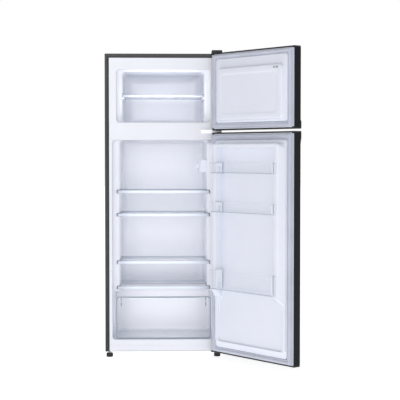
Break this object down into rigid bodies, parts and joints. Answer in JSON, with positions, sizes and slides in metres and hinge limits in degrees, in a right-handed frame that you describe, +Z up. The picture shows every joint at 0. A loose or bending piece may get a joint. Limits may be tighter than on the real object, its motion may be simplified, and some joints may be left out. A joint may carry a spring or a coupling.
{
  "type": "top freezer refrigerator",
  "caption": "Top freezer refrigerator with black shell, two hinged doors standing open, white liner, glass shelves, crisper drawer and door bins.",
  "frame": {"origin": "centre of the cabinet's footprint width on the underside of its base plate, 250 mm behind the front flange", "axes": "+X to the viewer's right when facing the doors, +Y towards the back, +Z up"},
  "size_m": [0.8761, 0.959, 1.446],
  "materials": {
    "black_paint": "satin",
    "black_plastic": "satin",
    "galvanised_steel": "satin",
    "white_liner": "gloss",
    "foam": "matte",
    "compressor_black": "satin",
    "copper_tube": "satin",
    "rubber_mount": "matte",
    "gasket_grey": "matte",
    "bright_steel": "satin",
    "white_plastic": "satin",
    "lamp_lens": "frosted",
    "led_warm": "gloss",
    "frosted_shelf": "satin",
    "shelf_glass": "gloss",
    "shelf_trim": "gloss",
    "clear_plastic": "gloss"
  },
  "bodies": {
    "cabinet": {"outer_shell": "black_paint", "back_panel": "galvanised_steel", "base_plate": "galvanised_steel", "side_rails": "galvanised_steel", "front_sill": "white_liner", "cabinet_foam": "foam", "cabinet_liner": "white_liner", "mullion_bar": "white_liner", "compressor_tray": "galvanised_steel", "compressor": "compressor_black", "compressor_grommets": "rubber_mount", "start_relay_box": "black_plastic", "condenser_coil": "compressor_black", "condenser_wires": "compressor_black", "condenser_lines": "copper_tube", "drip_tray": "black_plastic", "drain_tube": "white_liner", "cord_gland": "black_plastic", "top_hinge": "bright_steel", "top_hinge_cover": "black_plastic", "middle_hinge": "bright_steel", "hinge_bushings": "black_plastic", "bottom_hinge": "compressor_black", "hinge_screws": "bright_steel", "thermostat_housing": "white_plastic", "lamp_cover": "lamp_lens", "led_lamp": "led_warm", "door_switch_body": "white_plastic", "roller_brackets": "galvanised_steel"},
    "freezer_door": {"freezer_door_skin": "black_paint", "freezer_door_top_cap": "black_plastic", "freezer_door_bottom_cap": "black_plastic", "freezer_door_foam": "foam", "freezer_door_liner": "white_liner", "freezer_gasket": "gasket_grey"},
    "fridge_door": {"fridge_door_skin": "black_paint", "fridge_door_top_cap": "black_plastic", "fridge_door_bottom_cap": "black_plastic", "fridge_door_foam": "foam", "fridge_door_liner": "white_liner", "fridge_gasket": "gasket_grey"},
    "door_bin_low": {"door_bin_1": "clear_plastic"},
    "door_bin_middle": {"door_bin_2": "clear_plastic"},
    "door_bin_high": {"door_bin_3": "clear_plastic"},
    "freezer_shelf": {"freezer_shelf": "frosted_shelf"},
    "shelf_low": {"shelf_glass_1": "shelf_glass", "shelf_trim_1": "shelf_trim"},
    "shelf_middle": {"shelf_glass_2": "shelf_glass", "shelf_trim_2": "shelf_trim"},
    "shelf_high": {"shelf_glass_3": "shelf_glass", "shelf_trim_3": "shelf_trim"},
    "crisper_cover": {"crisper_glass": "shelf_glass", "crisper_trim": "shelf_trim"},
    "crisper_drawer": {"crisper_drawer": "clear_plastic"},
    "thermostat_knob": {"thermostat_knob": "white_plastic"},
    "door_switch_plunger": {"door_switch_plunger": "white_plastic"},
    "foot_left": {"foot_left": "black_plastic"},
    "foot_right": {"foot_right": "black_plastic"},
    "roller_left": {"roller_left": "black_plastic"},
    "roller_right": {"roller_right": "black_plastic"}
  },
  "joints": [
    {"name": "freezer_door_hinge", "type": "hinge", "parent": "cabinet", "child": "freezer_door", "pos_m": [0.257, -0.284, 1.2], "axis": [0, 0, 1], "range_deg": [-128, 22]},
    {"name": "fridge_door_hinge", "type": "hinge", "parent": "cabinet", "child": "fridge_door", "pos_m": [0.257, -0.284, 0.5], "axis": [0, 0, 1], "range_deg": [-128, 22]},
    {"name": "door_bin_low_lift", "type": "slide", "parent": "fridge_door", "child": "door_bin_low", "axis": [0, 0, 1], "range_m": [0, 0.04]},
    {"name": "door_bin_middle_lift", "type": "slide", "parent": "fridge_door", "child": "door_bin_middle", "axis": [0, 0, 1], "range_m": [0, 0.04]},
    {"name": "door_bin_high_lift", "type": "slide", "parent": "fridge_door", "child": "door_bin_high", "axis": [0, 0, 1], "range_m": [0, 0.04]},
    {"name": "freezer_shelf_slide", "type": "slide", "parent": "cabinet", "child": "freezer_shelf", "axis": [0, -1, 0], "range_m": [0, 0.2]},
    {"name": "shelf_low_slide", "type": "slide", "parent": "cabinet", "child": "shelf_low", "axis": [0, -1, 0], "range_m": [0, 0.2]},
    {"name": "shelf_middle_slide", "type": "slide", "parent": "cabinet", "child": "shelf_middle", "axis": [0, -1, 0], "range_m": [0, 0.2]},
    {"name": "shelf_high_slide", "type": "slide", "parent": "cabinet", "child": "shelf_high", "axis": [0, -1, 0], "range_m": [0, 0.2]},
    {"name": "crisper_cover_slide", "type": "slide", "parent": "cabinet", "child": "crisper_cover", "axis": [0, -1, 0], "range_m": [0, 0.2]},
    {"name": "crisper_drawer_slide", "type": "slide", "parent": "cabinet", "child": "crisper_drawer", "axis": [0, -1, 0], "range_m": [0, 0.24]},
    {"name": "thermostat_knob_turn", "type": "hinge", "parent": "cabinet", "child": "thermostat_knob", "pos_m": [0.172, -0.112, 0.876], "axis": [-1, 0, 0], "range_deg": [0, 270]},
    {"name": "door_switch_press", "type": "slide", "parent": "cabinet", "child": "door_switch_plunger", "axis": [0, 1, 0], "range_m": [0, 0.004], "stiffness_N_per_m": 150},
    {"name": "foot_left_screw", "type": "hinge", "parent": "cabinet", "child": "foot_left", "pos_m": [-0.2555, -0.225, -0.01], "axis": [0, 0, 1], "continuous": true},
    {"name": "foot_right_screw", "type": "hinge", "parent": "cabinet", "child": "foot_right", "pos_m": [0.2555, -0.225, -0.01], "axis": [0, 0, 1], "continuous": true},
    {"name": "roller_left_spin", "type": "hinge", "parent": "cabinet", "child": "roller_left", "pos_m": [-0.2415, 0.19, -0.016], "axis": [1, 0, 0], "continuous": true},
    {"name": "roller_right_spin", "type": "hinge", "parent": "cabinet", "child": "roller_right", "pos_m": [0.2415, 0.19, -0.016], "axis": [1, 0, 0], "continuous": true}
  ]
}
